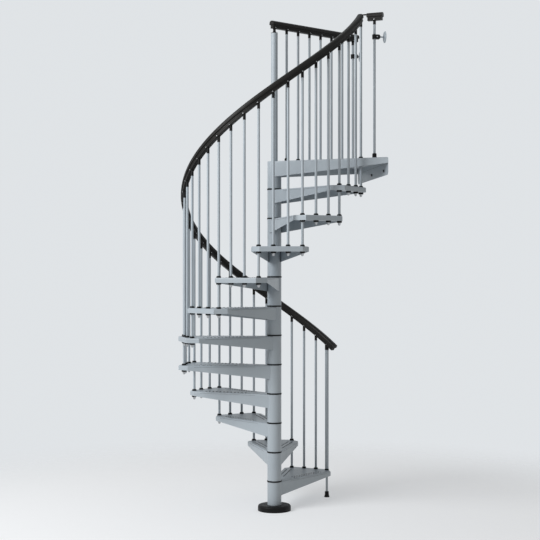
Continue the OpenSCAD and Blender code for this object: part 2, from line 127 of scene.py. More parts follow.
# %% Node helpers
def fill_sockets(tree, node, sockets):
    """Sets a node's sockets; a value that is another node's output is linked."""
    for key, value in sockets.items():
        if isinstance(value, bpy.types.NodeSocket):
            tree.links.new(value, node.inputs[key])
        else:
            node.inputs[key].default_value = value


def add_node(tree, kind, sockets=None, **settings):
    """Adds a node with its settings and its sockets."""
    node = tree.nodes.new(kind)
    for key, value in settings.items():
        setattr(node, key, value)
    fill_sockets(tree, node, sockets or {})
    return node


def start_material(name):
    """New material: returns it with its tree, its shader and its Object coordinates."""
    material = bpy.data.materials.new(name)
    material.use_nodes = True
    tree = material.node_tree
    shader = tree.nodes["Principled BSDF"]
    place = add_node(tree, "ShaderNodeTexCoord").outputs["Object"]
    return material, tree, shader, place


# %% [markdown]
# ## Patterns that the finishes share
# Real finishes are never quite even. A noise texture gives a soft random value over the surface. Most of its
# values lie close to a half, so that middle range is stretched before it drives a colour or a roughness.

# %% Pattern helpers
NOISE_LOW = 0.3
NOISE_HIGH = 0.7


def noise(tree, place, scale, detail=2.0):
    """Value of a noise texture, with its scale in lumps for each metre."""
    return add_node(tree, "ShaderNodeTexNoise",
                    {"Vector": place, "Scale": scale, "Detail": detail}).outputs["Fac"]


def spread(tree, value, low=0.0, high=1.0):
    """Maps the usual range of a noise value to another range."""
    return add_node(tree, "ShaderNodeMapRange",
                    {"Value": value, "From Min": NOISE_LOW, "From Max": NOISE_HIGH,
                     "To Min": low, "To Max": high}).outputs["Result"]


def mixed_colour(tree, value, first, second):
    """Blends two colours by a value from 0 to 1."""
    return add_node(tree, "ShaderNodeMix", {"Factor": value, "A": first, "B": second},
                    data_type="RGBA").outputs["Result"]


def bump(tree, height, distance, strength):
    """Normal of a bumpy surface, with the bump's height in metres."""
    return add_node(tree, "ShaderNodeBump", {"Height": height, "Distance": distance,
                                             "Strength": strength}).outputs["Normal"]


# %% [markdown]
# ## Painted shade in the creases
# Shade falls in the pressed lines and the inner corners of the folded sheet, and here it is painted into the
# colour of the paint. It could be painted on by hand, corner by corner. An Ambient Occlusion node that looks
# only a few millimetres round a point, and only at the point's own mesh, finds every crease by itself.

# %% Painted shade in the creases
CREASE_REACH = 3 * MM
# Tone of the painted shade in a crease.
CREASE_SHADE = (0.018, 0.020, 0.022, 1)
CREASE_RAYS = 8
CREASE_CLOSED = 0.5
CREASE_OPEN = 0.95


def painted_crease_shade(tree, tone):
    """Darkens a tone with painted shade where the surface closes in on itself within the reach of a crease.
    """
    openness = add_node(tree, "ShaderNodeAmbientOcclusion", {"Distance": CREASE_REACH},
                        samples=CREASE_RAYS, only_local=True).outputs["AO"]
    unshaded = add_node(tree, "ShaderNodeMapRange",
                     {"Value": openness, "From Min": CREASE_CLOSED, "From Max": CREASE_OPEN})
    return mixed_colour(tree, unshaded.outputs["Result"], CREASE_SHADE, tone)


print(f"painted_shade settles within {CREASE_REACH / MM:.0f} mm of a crease")

# %% [markdown]
# ## Grey powder coat
# The steel is powder coated in a light blue-grey satin. A powder coat is even in colour, so only a faint
# cloudiness is mixed in, and its skin has the fine ripple that painters call orange peel. A noise of about
# 3 mm lumps drives the bump, and a slower one moves the roughness a little, which keeps highlights alive.

# %% Grey powder coat
GREY_TONES = ((0.345, 0.395, 0.440, 1), (0.375, 0.427, 0.472, 1))


def grey_powder_coat():
    material, tree, shader, place = start_material("grey_powder_coat")
    cloud = spread(tree, noise(tree, place, scale=4.0))
    peel = noise(tree, place, scale=340.0, detail=1.0)
    fill_sockets(tree, shader, {
        # The creases get painted shade over the paint's own colour.
        "Base Color": painted_crease_shade(tree, mixed_colour(tree, cloud, *GREY_TONES)),
        "Roughness": spread(tree, noise(tree, place, scale=22.0), low=0.38, high=0.48),
        "Normal": bump(tree, peel, distance=0.2 * MM, strength=0.35),
        "Specular IOR Level": 0.45})
    return material


GREY = grey_powder_coat()
print("made", GREY.name)

# %% [markdown]
# ## Black moulded plastic
# Collars, washers, caps, rings and the base cover are injection moulded. Moulded parts carry a fine spark
# eroded grain and a dull sheen that changes slightly over the surface. A noise finer than a millimetre makes
# the grain. The colour stays just above black, because a true zero would swallow the shape.

# %% Black moulded plastic
BLACK_TONES = ((0.0040, 0.0040, 0.0043, 1), (0.0070, 0.0070, 0.0074, 1))


def black_moulding():
    material, tree, shader, place = start_material("black_moulding")
    cloud = spread(tree, noise(tree, place, scale=30.0))
    grain = noise(tree, place, scale=1400.0, detail=1.0)
    fill_sockets(tree, shader, {
        "Base Color": mixed_colour(tree, cloud, *BLACK_TONES),
        "Roughness": spread(tree, noise(tree, place, scale=60.0), low=0.40, high=0.55),
        "Normal": bump(tree, grain, distance=0.1 * MM, strength=0.3),
        "Specular IOR Level": 0.15})
    return material


BLACK = black_moulding()
print("made", BLACK.name)

# %% [markdown]
# ## Black handrail
# The handrail is an extruded plastic section, bent hot into the spiral. Hands polish its crown, so it is
# smoother than the mouldings, and the die leaves faint lines along its length. A pattern in space couldn't
# follow the bend. The sweep below stores how far round the section each point lies, and a wave on that value
# draws the die lines along any path.

# %% Black handrail
RAIL_TONES = ((0.0120, 0.0115, 0.0109, 1), (0.0175, 0.0168, 0.0160, 1))
DIE_WAVE = 420.0


def die_lines(tree):
    """Wave round the section, which draws lines along the rail."""
    around = add_node(tree, "ShaderNodeAttribute", attribute_name="around").outputs["Fac"]
    turns = add_node(tree, "ShaderNodeMath", {0: around, 1: DIE_WAVE}, operation="MULTIPLY")
    return add_node(tree, "ShaderNodeMath", {0: turns.outputs[0]}, operation="SINE").outputs[0]


def handrail_plastic():
    material, tree, shader, place = start_material("handrail_plastic")
    cloud = spread(tree, noise(tree, place, scale=14.0))
    fill_sockets(tree, shader, {
        "Base Color": mixed_colour(tree, cloud, *RAIL_TONES),
        "Roughness": spread(tree, noise(tree, place, scale=40.0), low=0.34, high=0.46),
        "Normal": bump(tree, die_lines(tree), distance=0.08 * MM, strength=0.25),
        "Specular IOR Level": 0.15})
    return material


RAIL = handrail_plastic()
print("made", RAIL.name)

# %% [markdown]
# ## Plated and blackened steel
# Dome nuts and screws are zinc plated: a mid grey metal, slightly blue, with a soft plating haze. The grub
# screws in the hubs are blackened: dark metal with an oily, uneven sheen. The bolts of the landing get the
# same dark metal, which paints in the shade that shows in the flange's holes. Both are even in colour, so the
# tone is one value on the shader, and the haze is all in the roughness. One function makes both.

# %% Plated and blackened steel
def bare_metal(name, tone, haze, low, high):
    """Metal of one tone, with its haze in lumps for each metre and the range of its roughness."""
    material, tree, shader, place = start_material(name)
    fill_sockets(tree, shader, {
        "Base Color": tone,
        "Metallic": 1.0,
        "Roughness": spread(tree, noise(tree, place, scale=haze), low, high)})
    return material


STEEL = bare_metal("plated_steel", (0.44, 0.45, 0.46, 1), haze=260.0, low=0.28, high=0.40)
# Dark metal: blackened on the grub screws, painted shade on the landing's bolts.
DARK_STEEL = bare_metal("blackened_steel_and_shade", (0.075, 0.078, 0.082, 1), haze=180.0, low=0.34, high=0.52)
print("made", STEEL.name, "and", DARK_STEEL.name)

# %% [markdown]
# ## Finish for the construction
# Treads, hubs, balusters and mouldings have their right shape in the frame already, so they aren't built
# again. Every node keeps its mesh and gets the finish of its slot in the record.

# %% Dress the frame's nodes
SLOT_FINISH = {"grey_paint": GREY, "black_plastic": BLACK, "handrail_black": RAIL}
for part in frame["record"]["subparts"]:
    node = frame["nodes"][part["node"]]
    node.data.materials.clear()
    node.data.materials.append(SLOT_FINISH[part["material_slot"]])
print("dressed", len(frame["nodes"]), "nodes")

# %% [markdown]
# ## Helpers for pieces
# A piece is a mesh with its place in its vertices. The first helper links it and rides it on the stair's one
# body. Turned and moulded shapes look round though their faces are flat, so the last helper shades a mesh
# smooth and keeps only its real edges sharp.

# %% Piece helpers
def add_piece(name, mesh):
    """Makes an object of a finished mesh and rides it on the stair."""
    piece = bpy.data.objects.new(name, mesh)
    scene.collection.objects.link(piece)
    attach(piece, "root")
    print(f"{name}: {len(mesh.polygons)} faces")
    return piece


def helper_object(name, data):
    """Object that isn't part of the stair, such as a path that a tree reads."""
    helper = bpy.data.objects.new(name, data)
    scene.collection.objects.link(helper)
    return helper


def shade_round(mesh, sharp):
    """Shades a mesh smooth, apart from edges that turn by more than an angle in degrees."""
    mesh.shade_smooth()
    mesh.set_sharp_from_angle(angle=radians(sharp))


# %% [markdown]
# ## Helpers for Geometry Nodes
# What repeats or follows a path is grown by a Geometry Nodes tree with named inputs. A live tree would be
# easy to change later, but an export can't carry it. So the tree runs once on an empty mesh, and only the
# plain mesh that it makes is kept.

# %% Tree helpers
def new_tree(name, sockets):
    """Geometry Nodes tree with named inputs; returns it with its input node's outputs."""
    tree = bpy.data.node_groups.new(name, "GeometryNodeTree")
    tree.interface.new_socket("Geometry", in_out="OUTPUT", socket_type="NodeSocketGeometry")
    for label, kind in sockets:
        tree.interface.new_socket(label, in_out="INPUT", socket_type="NodeSocket" + kind)
    return tree, tree.nodes.new("NodeGroupInput").outputs


def end_tree(tree, geometry, material):
    """Ends a tree: instances become real, and get their material."""
    real = add_node(tree, "GeometryNodeRealizeInstances", {"Geometry": geometry})
    dressed = add_node(tree, "GeometryNodeSetMaterial",
                       {"Geometry": real.outputs[0], "Material": material})
    end = tree.nodes.new("NodeGroupOutput")
    tree.links.new(dressed.outputs[0], end.inputs[0])


def grow(name, tree, values):
    """Runs a tree once and returns the plain mesh that it makes."""
    maker = helper_object(name + "_maker", bpy.data.meshes.new(name + "_empty"))
    modifier = maker.modifiers.new("grow", "NODES")
    modifier.node_group = tree
    for socket in tree.interface.items_tree:
        if socket.in_out == "INPUT":
            modifier[socket.identifier] = values[socket.name]
    graph = bpy.context.evaluated_depsgraph_get()
    mesh = bpy.data.meshes.new_from_object(maker.evaluated_get(graph), depsgraph=graph,
                                           preserve_all_data_layers=True)
    mesh.name = name
    maker.modifiers.remove(modifier)
    bpy.data.objects.remove(maker)
    return mesh


# %% [markdown]
# ## Handrail section
# The handrail is two profiles: a wide crown with a round top, and a narrower base with a groove along each
# side. They could be drawn as curves by hand, but functions keep their sizes readable and let the corners
# be true arcs. Each is drawn about its own middle, so that an end can be drawn in evenly all round. The sizes
# are those of the construction's own rails.

# %% Sizes of the section
RAIL_W = 46 * MM
RAIL_H = 55 * MM
RAIL_ROUND = 17 * MM
RAIL_BASE_W = 32 * MM
RAIL_BASE_H = 25 * MM
GROOVE = 2 * MM
EDGE_ROUND = 2 * MM
BASE_SUNK = 1 * MM
CROWN_MIDDLE = (RAIL_BASE_H + RAIL_H) / 2
BASE_MIDDLE = (RAIL_BASE_H + BASE_SUNK) / 2
print(f"handrail section {RAIL_W / MM:.0f} by {RAIL_H / MM:.0f} mm")

# %% Outline of the section
CROWN_STEPS = 8
EDGE_STEPS = 3


def arc(middle, radius, start, end, steps):
    """Points along an arc, its angles in degrees."""
    angles = [radians(start + (end - start) * i / steps) for i in range(steps + 1)]
    return [(middle[0] + radius * cos(a), middle[1] + radius * sin(a)) for a in angles]


def base_side():
    """Right side of the base, from its underside up into the crown."""
    side = RAIL_BASE_W / 2
    groove_z = RAIL_BASE_H / 2
    return [
        *arc((side - EDGE_ROUND, EDGE_ROUND), EDGE_ROUND, -90, 0, EDGE_STEPS),
        (side, groove_z - GROOVE),
        (side - GROOVE, groove_z - GROOVE / 2),
        (side - GROOVE, groove_z + GROOVE / 2),
        (side, groove_z + GROOVE),
        (side, RAIL_BASE_H + BASE_SUNK),
    ]


def crown_side():
    """Right side of the crown, from its underside to its top."""
    side = RAIL_W / 2
    return [
        *arc((side - EDGE_ROUND, RAIL_BASE_H + EDGE_ROUND), EDGE_ROUND, -90, 0, EDGE_STEPS),
        *arc((side - RAIL_ROUND, RAIL_H - RAIL_ROUND), RAIL_ROUND, 0, 90, CROWN_STEPS),
    ]


def both_sides(right, middle):
    """Closed section from its right side, drawn about a height in its middle."""
    outline = right + [(-x, z) for x, z in reversed(right)]
    return [(x, z - middle) for x, z in outline]


print("crown of", 2 * len(crown_side()), "points and base of", 2 * len(base_side()))

# %% [markdown]
# ## Sweeping the handrail
# The spiral handrail is a section carried along a helix, so Geometry Nodes make it: Curve to Mesh takes
# the path and the section, and the Z Up mode of the curve's normals keeps the crown on top all the way
# round. Before the sweep, the share of the way round the section is stored as an attribute for the die
# lines. Crown and base each have their own path and section, and the tree joins the two sweeps. The same
# tree makes the straight handrails of the landing.

# %% The sweep tree
def swept(tree, path_object, section_object):
    """Adds the nodes that carry one section along one path."""
    path = add_node(tree, "GeometryNodeObjectInfo", {"Object": path_object}).outputs["Geometry"]
    section = add_node(tree, "GeometryNodeObjectInfo", {"Object": section_object}).outputs["Geometry"]
    upright = add_node(tree, "GeometryNodeSetCurveNormal", {"Curve": path}, mode="Z_UP")
    share = add_node(tree, "GeometryNodeSplineParameter").outputs["Factor"]
    marked = add_node(tree, "GeometryNodeStoreNamedAttribute",
                      {"Geometry": section, "Name": "around", "Value": share}, domain="POINT")
    return add_node(tree, "GeometryNodeCurveToMesh", {
        "Curve": upright.outputs[0], "Profile Curve": marked.outputs[0], "Fill Caps": True}).outputs[0]


def handrail_sweep_tree():
    tree, inputs = new_tree("handrail_sweep", [
        ("Crown Path", "Object"), ("Crown Section", "Object"),
        ("Base Path", "Object"), ("Base Section", "Object"), ("Finish", "Material")])
    join = tree.nodes.new("GeometryNodeJoinGeometry")
    tree.links.new(swept(tree, inputs["Crown Path"], inputs["Crown Section"]), join.inputs[0])
    tree.links.new(swept(tree, inputs["Base Path"], inputs["Base Section"]), join.inputs[0])
    end_tree(tree, join.outputs[0], inputs["Finish"])
    return tree


SWEEP = handrail_sweep_tree()
print("sweep tree of", len(SWEEP.nodes), "nodes")

# %% Curves for the sweep
def poly_curve(name, points, closed=False, widths=None):
    """Curve object through points, used as a path or a section; a path's widths scale its section."""
    curve = bpy.data.curves.new(name, "CURVE")
    curve.dimensions = "3D"
    spline = curve.splines.new("POLY")
    spline.points.add(len(points) - 1)
    for point, place, width in zip(spline.points, points, widths or [1.0] * len(points)):
        point.co = (*place, 1)
        point.radius = width
    spline.use_cyclic_u = closed
    return helper_object(name, curve)


def section_curve(name, right, middle):
    """Curve of a section; a path lays a section's Y downwards, so it is drawn upside down."""
    return poly_curve(name, [(x, -z, 0) for x, z in both_sides(right, middle)], closed=True)


CROWN = section_curve("crown_section", crown_side(), CROWN_MIDDLE)
BASE = section_curve("base_section", base_side(), BASE_MIDDLE)
print("made", CROWN.name, "and", BASE.name)

# %% [markdown]
# ## Ends of the handrails
# A moulded cap closes each end of the crown: a fine seam, then the cap's own body, then its rounded edge.
# The base stops a little short of it. The caps could be pieces of their own, but a curve's radius scales the
# section that is swept along it. So a few stations close to the end make both the seam and the rounding.
# Each station is a distance from the end in millimetres and the section's scale there.

# %% Ends of the handrails
CROWN_END = [(15.8, 1.0), (15.6, 0.955), (14.8, 0.955), (14.6, 1.0), (3.2, 1.0), (1.4, 0.985),
             (0.4, 0.95), (0.0, 0.91)]
BASE_END = [(6.0, 1.0), (5.0, 0.96)]


def near_end(end, inside, stations):
    """Stations before an end, as points with widths, on the line from the next point inside."""
    inward = (inside - end).normalized()
    return [(end + inward * distance * MM, width) for distance, width in stations]


def with_ends(points, stations):
    """Adds stations near both ends of a path; returns its points and widths."""
    start = near_end(points[0], points[1], stations)[::-1]
    middle = [(point, 1.0) for point in points[1:-1]]
    end = near_end(points[-1], points[-2], stations)
    whole = start + middle + end
    return [point for point, width in whole], [width for point, width in whole]


print("end caps", CROWN_END[0][0], "mm long")

# %% [markdown]
# ## One handrail
# All three handrails are made alike: two paths, one above the other, the sweep along both, and a last step
# that turns the faces outwards. The construction's own rails could be shaded smooth instead, but they have
# coarse facets and bare ends. So each new rail, of the same size, stands in for its node.

# %% One handrail
RAIL_SHARP = 35


def face_outwards(mesh):
    """Turns the faces of a closed mesh outwards."""
    bm = bmesh.new()
    bm.from_mesh(mesh)
    bmesh.ops.recalc_face_normals(bm, faces=bm.faces)
    bm.to_mesh(mesh)
    bm.free()


def add_handrail(name, points, lifts, node):
    """Handrail along its underside's middle, in place of a node; lifts point up across the path."""
    paths = {}
    for part, height, stations in (("Crown", CROWN_MIDDLE, CROWN_END), ("Base", BASE_MIDDLE, BASE_END)):
        raised = [point + lift * height for point, lift in zip(points, lifts)]
        places, widths = with_ends(raised, stations)
        paths[part + " Path"] = poly_curve(f"{name}_{part}", places, widths=widths)
    mesh = grow(name, SWEEP, {**paths, "Crown Section": CROWN, "Base Section": BASE, "Finish": RAIL})
    for path in paths.values():
        bpy.data.objects.remove(path)
    face_outwards(mesh)
    shade_round(mesh, RAIL_SHARP)
    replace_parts(add_piece(name, mesh), node)


# %% [markdown]
# ## The spiral handrail
# The path is a helix over the circle of the balusters. It rises as the treads do, so that the underside of
# the rail stays at one height over the treads. It could be drawn with a spiral curve, but points from the
# layout keep the rail on its balusters, and the lift tilts the section square to the slope.

# %% Path of the spiral handrail
RAIL_CLEAR = 967 * MM
rail_z0 = tread_tops[0] + RAIL_CLEAR
rail_pitch = atan2(rise, baluster_r * TURN)


def rail_under(n):
    """Middle of the handrail's underside at baluster place n."""
    return on_circle(baluster_angle(n), baluster_r, rail_z0 + rise * n / SPACES)


def rail_lift(n):
    """Direction up across the handrail at baluster place n."""
    forward = direction(baluster_angle(n) + QUARTER_TURN)
    return Vector((0, 0, cos(rail_pitch))) - forward * sin(rail_pitch)


def place_after(n, distance):
    """Baluster place at a distance along the circle from baluster n."""
    return n + distance / baluster_r / (TURN / SPACES)


print(f"handrail climbs {rail_pitch / radians(1):.1f} degrees")

# %% The spiral handrail
RAIL_LEAD = 58 * MM
RAIL_TAIL = 8 * MM
RAIL_PARTS = 220
rail_start = place_after(0, -RAIL_LEAD)
rail_end = place_after(BALUSTERS, RAIL_TAIL)
spiral_places = [rail_start + (rail_end - rail_start) * i / RAIL_PARTS for i in range(RAIL_PARTS + 1)]
add_handrail("spiral_handrail_moulding", [rail_under(n) for n in spiral_places],
             [rail_lift(n) for n in spiral_places], "spiral_handrail")

# %% [markdown]
# ## Handrails of the landing
# The landing has two straight lengths of the same section, along its back and its front edge. Measures could
# be written out for them, but their ends are read from the boxes of the construction, so they always fit.

# %% Handrails of the landing
LANDING_HALF = radians(30)
UP = Vector((0, 0, 1))
landing_rail_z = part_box("landing_handrail_back")[0].z


def straight_ends(node, angle):
    """Both ends of a straight rail's underside, from its node's box."""
    low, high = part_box(node)
    corner = RAIL_W / 2 * sin(LANDING_HALF)
    return [on_circle(angle, (low.x + corner) / cos(angle), low.z),
            on_circle(angle, (high.x - corner) / cos(angle), low.z)]


for edge, angle in (("back", LANDING_HALF), ("front", -LANDING_HALF)):
    node = f"landing_handrail_{edge}"
    add_handrail(f"{edge}_handrail_moulding", straight_ends(node, angle), [UP, UP], node)

# %% [markdown]
# ## One tree for everything that repeats
# Nuts, screws, bolts and anti-slip studs are all one small shape at many places. A short tree puts the
# shape on every point of a mesh and turns it by the point's own attribute. The points are worked out from
# the layout, which is easier to read than the same sums in nodes.

# %% The repeat tree
def repeat_tree():
    tree, inputs = new_tree("repeat_on_spots", [
        ("Spots", "Object"), ("Shape", "Object"), ("Finish", "Material")])
    spots = add_node(tree, "GeometryNodeObjectInfo", {"Object": inputs["Spots"]}).outputs["Geometry"]
    shape = add_node(tree, "GeometryNodeObjectInfo", {"Object": inputs["Shape"], "As Instance": True})
    turn = add_node(tree, "GeometryNodeInputNamedAttribute", {"Name": "turn"}, data_type="FLOAT_VECTOR")
    rotation = add_node(tree, "FunctionNodeEulerToRotation", {"Euler": turn.outputs["Attribute"]})
    copies = add_node(tree, "GeometryNodeInstanceOnPoints", {
        "Points": spots, "Instance": shape.outputs["Geometry"], "Rotation": rotation.outputs[0]})
    end_tree(tree, copies.outputs[0], inputs["Finish"])
    return tree


REPEAT = repeat_tree()
print("repeat tree of", len(REPEAT.nodes), "nodes")

# %% Repeat a shape
def repeat(name, shape, spots, finish):
    """Piece with a shape at each spot, a place and a turn."""
    points = bpy.data.meshes.new(name + "_spots")
    points.from_pydata([place for place, turn in spots], [], [])
    turns = points.attributes.new("turn", "FLOAT_VECTOR", "POINT")
    for value, (place, turn) in zip(turns.data, spots):
        value.vector = turn
    spot_object = helper_object(name + "_spots", points)
    shape_object = helper_object(name + "_shape", shape)
    mesh = grow(name, REPEAT, {"Spots": spot_object, "Shape": shape_object, "Finish": finish})
    bpy.data.objects.remove(spot_object)
    bpy.data.objects.remove(shape_object)
    print(len(spots), "times", shape.name)
    return add_piece(name, mesh)


def facing(way):
    """Turn that points a shape's Z along a direction."""
    return way.to_track_quat("Z", "Y").to_euler()


# %% [markdown]
# ## Turned shapes
# Each small shape is a stack of rings round Z with its base at zero. A ring is round or six-sided, so one
# way of stacking makes nuts, screw heads and bolts, and a last ring that dips inwards makes a key's socket.
# Cut from a cylinder they would need booleans, which leave untidy faces.

# %% Rings
ROUND_SIDES = 24
HEX_STEP = 60


def round_rings(profile, sides=ROUND_SIDES):
    """Round rings through pairs of height and radius, in millimetres."""
    return [[on_circle(radians(360 * i / sides), radius, z) * MM for i in range(sides)]
            for z, radius in profile]


def hex_rings(profile):
    """Six-sided rings through pairs of height and half the width across the flats."""
    rings = []
    for z, half_flats in profile:
        rings.append([])
        for i in range(ROUND_SIDES):
            turn = 360 * i / ROUND_SIDES
            off_flat = radians(turn % HEX_STEP - HEX_STEP / 2)
            rings[-1].append(on_circle(radians(turn), half_flats / cos(off_flat), z) * MM)
    return rings


# %% Stacked rings
SHAPE_SHARP = 40


def stacked(name, rings):
    """Closed mesh through rings of as many points each."""
    mesh = bpy.data.meshes.new(name)
    bm = bmesh.new()
    stack = [[bm.verts.new(point) for point in ring] for ring in rings]
    for low_ring, high_ring in zip(stack, stack[1:]):
        for i in range(len(low_ring)):
            j = (i + 1) % len(low_ring)
            bm.faces.new((low_ring[i], low_ring[j], high_ring[j], high_ring[i]))
    bm.faces.new(stack[0][::-1])
    bm.faces.new(stack[-1])
    bm.to_mesh(mesh)
    bm.free()
    shade_round(mesh, SHAPE_SHARP)
    return mesh


# %% [markdown]
# ## Dome nuts
# Each baluster is drawn up under its tread by a plated dome nut, of the size made for a 12 mm thread. Its
# hexagon is 19 mm across the flats, with turned-off corners, and carries a short collar and a full dome.
# The dome could be half a sphere, but it is flatter, so its rings follow an ellipse.

# %% Shape of a dome nut
NUT_HALF = 19.0 / 2
NUT_H = 8.0
NUT_FOOT_IN = 0.6
NUT_FOOT_UP = 0.8
NUT_TOP_IN = 0.5
NUT_TOP_DOWN = 1.4
COLLAR_H = 3.5
DOME_R = 8.9
DOME_H = 8.5
DOME_ANGLES = (0, 22, 42, 60, 76, 86)
dome = [(NUT_H + COLLAR_H + DOME_H * sin(radians(a)), DOME_R * cos(radians(a))) for a in DOME_ANGLES]
dome_nut = stacked("dome_nut", [
    *round_rings([(0, NUT_HALF - NUT_FOOT_IN)]),
    *hex_rings([(NUT_FOOT_UP, NUT_HALF), (NUT_H - NUT_TOP_DOWN, NUT_HALF)]),
    *round_rings([(NUT_H, NUT_HALF - NUT_TOP_IN), (NUT_H, DOME_R), *dome])])
print(f"dome nut {dome[-1][0]:.1f} mm high")

# %% Dome nuts
DOWN = Vector((0, 0, -1))
under_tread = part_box("tread_01")[1].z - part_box("balusters_01")[0].z
nut_spots = []
for n in range(1, BALUSTERS + 1):
    tread_top = tread_tops[ceil(n / SPACES) - 1]
    nut_spots.append((on_circle(baluster_angle(n), baluster_r, tread_top - under_tread), facing(DOWN)))
repeat("dome_nuts", dome_nut, nut_spots, STEEL)

# %% [markdown]
# ## Handrail screws
# A small socket-head screw goes into the rail's base from each side at every cap. On the spiral the screw
# follows the slope of the rail, a few millimetres above its lower edge. Their places could be read off the
# caps one by one, but the layout gives them all. Only the head shows, so no shank is made.

# %% Shape of a screw head
HEAD_INSETS = ((0, 0), (1.2, 0), (2.3, 0.5), (2.8, 1.3))
KEY_SOCKET = ((2.8, 1.6), (1.2, 1.5))


def screw_head(name, radius):
    """Round screw head in millimetres with a key's socket, standing on its face."""
    sides = round_rings([(z, radius - inset) for z, inset in HEAD_INSETS])
    return stacked(name, sides + hex_rings(KEY_SOCKET))


def screw_pair(middle, across, half_width):
    """Spots on both sides of a bar, with the heads outwards."""
    return [(middle + across * side * half_width, facing(across * side)) for side in (-1, 1)]


print("screw heads", HEAD_INSETS[-1][0], "mm high")

# %% Screws along the spiral
SCREW_UP = 6.6 * MM
screw_spots = []
for n in range(BALUSTERS + 1):
    middle = rail_under(n) + rail_lift(n) * SCREW_UP
    screw_spots += screw_pair(middle, direction(baluster_angle(n)), RAIL_BASE_W / 2)
print(len(screw_spots), "screws along the spiral")

# %% Balusters of the landing
ROD_R = 9 * MM
BACK_COUNT = 7
rods_low, rods_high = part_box("landing_balusters")
back_first = (rods_low.x + ROD_R) / cos(LANDING_HALF)
back_last = (rods_high.x - ROD_R) / cos(LANDING_HALF)
back_places = [(LANDING_HALF, back_first + (back_last - back_first) * i / (BACK_COUNT - 1))
               for i in range(BACK_COUNT)]
front_place = (-LANDING_HALF, (-rods_low.y - ROD_R) / sin(LANDING_HALF))
post_place = (LANDING_HALF, 0.0)
print(f"balusters at the back from {back_first:.3f} to {back_last:.3f} m")

# %% Handrail screws
RAIL_SCREW_R = 3.6
for angle, distance in [post_place, *back_places, front_place]:
    middle = on_circle(angle, distance, landing_rail_z + SCREW_UP)
    screw_spots += screw_pair(middle, direction(angle + QUARTER_TURN), RAIL_BASE_W / 2)
repeat("handrail_screws", screw_head("rail_screw", RAIL_SCREW_R), screw_spots, STEEL)

# %% [markdown]
# ## Clamp screws
# The last baluster at each edge of the landing is held by a clamp, and a screw closes the clamp across its
# arm. It is the same head as on the handrail, a size larger, so the same function makes it.

# %% Clamp screws
CLAMP_ARM_W = 22 * MM
CLAMP_SCREW_OUT = Vector((18.5 * MM, 0, 0))
CLAMP_SCREW_R = 4.6
ACROSS_ARM = Vector((0, 1, 0))
clamps_low, clamps_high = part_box("wall_clamps")
clamp_z = (clamps_low.z + clamps_high.z) / 2
clamp_spots = []
for angle, distance in (back_places[-1], front_place):
    middle = on_circle(angle, distance, clamp_z) + CLAMP_SCREW_OUT
    clamp_spots += screw_pair(middle, ACROSS_ARM, CLAMP_ARM_W / 2)
repeat("clamp_screws", screw_head("clamp_screw", CLAMP_SCREW_R), clamp_spots, STEEL)

# %% [markdown]
# ## Bolts of the landing
# Three dark hexagon bolts with washers go through the landing's deep end flange, and their dark tone paints
# in the shade that shows in the flange's holes. Washer and head are one stack of rings here, because nothing
# shows between them. The holes are mounts of the record, which gives the bolts their height and their
# spacing.

# %% Bolts of the landing
SHEET = 3 * MM
WASHER = ((0, 11.0), (1.6, 11.0), (2.0, 10.6))
BOLT_FOOT = (2.0, 8.0)
BOLT_FLATS = ((2.4, 8.5), (7.8, 8.5))
BOLT_TOP = (8.6, 8.0)
INWARDS = Vector((-1, 0, 0))
mounts = {mount["name"]: mount for mount in frame["record"]["mounts"]}
bolt_z = mounts["wall_bolts"]["pos_m"][2]
bolt_pitch = mounts["wall_bolts"]["dims"]["spacing_x_mm"] / 2 * MM
bolt_head = stacked("wall_bolt", [
    *round_rings([*WASHER, BOLT_FOOT]), *hex_rings(BOLT_FLATS), *round_rings([BOLT_TOP])])
bolt_spots = [(Vector((cad_high.x - SHEET, i * bolt_pitch, bolt_z)), facing(INWARDS)) for i in (-1, 0, 1)]
# The bolts' dark metal is painted shade for the flange's holes.
repeat("wall_bolts", bolt_head, bolt_spots, DARK_STEEL)

# %% [markdown]
# ## Grub screws
# A grub screw in each hub locks the tread to the post. It is set nearly flush, so only a low rim with a key's
# socket stands out of the tube. A dark dot in the paint would be quicker, but it would look flat close up.

# %% Grub screws
HUB_R = 50.8 * MM
GRUB_BESIDE = radians(-66)
GRUB_DROP = 100 * MM
GRUB_SUNK = 0.3 * MM
GRUB_RIM = ((0, 4.0), (0.7, 4.0), (1.0, 3.6))
GRUB_SOCKET = ((1.0, 2.0), (0.2, 1.9))
grub_screw = stacked("grub_screw", round_rings(GRUB_RIM) + hex_rings(GRUB_SOCKET))
grub_spots = []
for k in range(1, TREADS + 1):
    angle = tread_angle(k) + GRUB_BESIDE
    place = on_circle(angle, HUB_R - GRUB_SUNK, tread_tops[k - 1] - GRUB_DROP)
    grub_spots.append((place, facing(direction(angle))))
repeat("grub_screws", grub_screw, grub_spots, DARK_STEEL)

# %% [markdown]
# ## Anti-slip studs
# Two staggered rows of low studs are pressed into the sheet along both edges of each tread, and along the
# edge of the landing where a foot comes up. They are finished black, which paints in the shade that falls
# round the pressed pips. A bump pattern would vanish at a low angle, so they are real shapes of few faces.
# The rows run parallel to the edge. An edge is given by the angle that it runs at and by how far it passes
# from the post's axis, and a stud's place is a distance along it and a distance inside it.

# %% Rows of studs
ROW_INSETS = (33 * MM, 65 * MM)
ROW_START = 226 * MM
ROW_COUNT = 12
STUD_PITCH = 29.3 * MM


def stud_rows(angle, side, edge, z):
    """Spots of both rows along an edge that runs at an angle, on its left (1) or right (-1) side."""
    spots = []
    outward = direction(angle + QUARTER_TURN * side)
    for row, inset in enumerate(ROW_INSETS):
        for i in range(ROW_COUNT):
            along = ROW_START + (i + row / 2) * STUD_PITCH
            spots.append((on_circle(angle, along, z) + outward * (edge - inset), (0, 0, angle)))
    return spots


print(f"rows of studs {(ROW_COUNT - 1) * STUD_PITCH / MM:.0f} mm long")

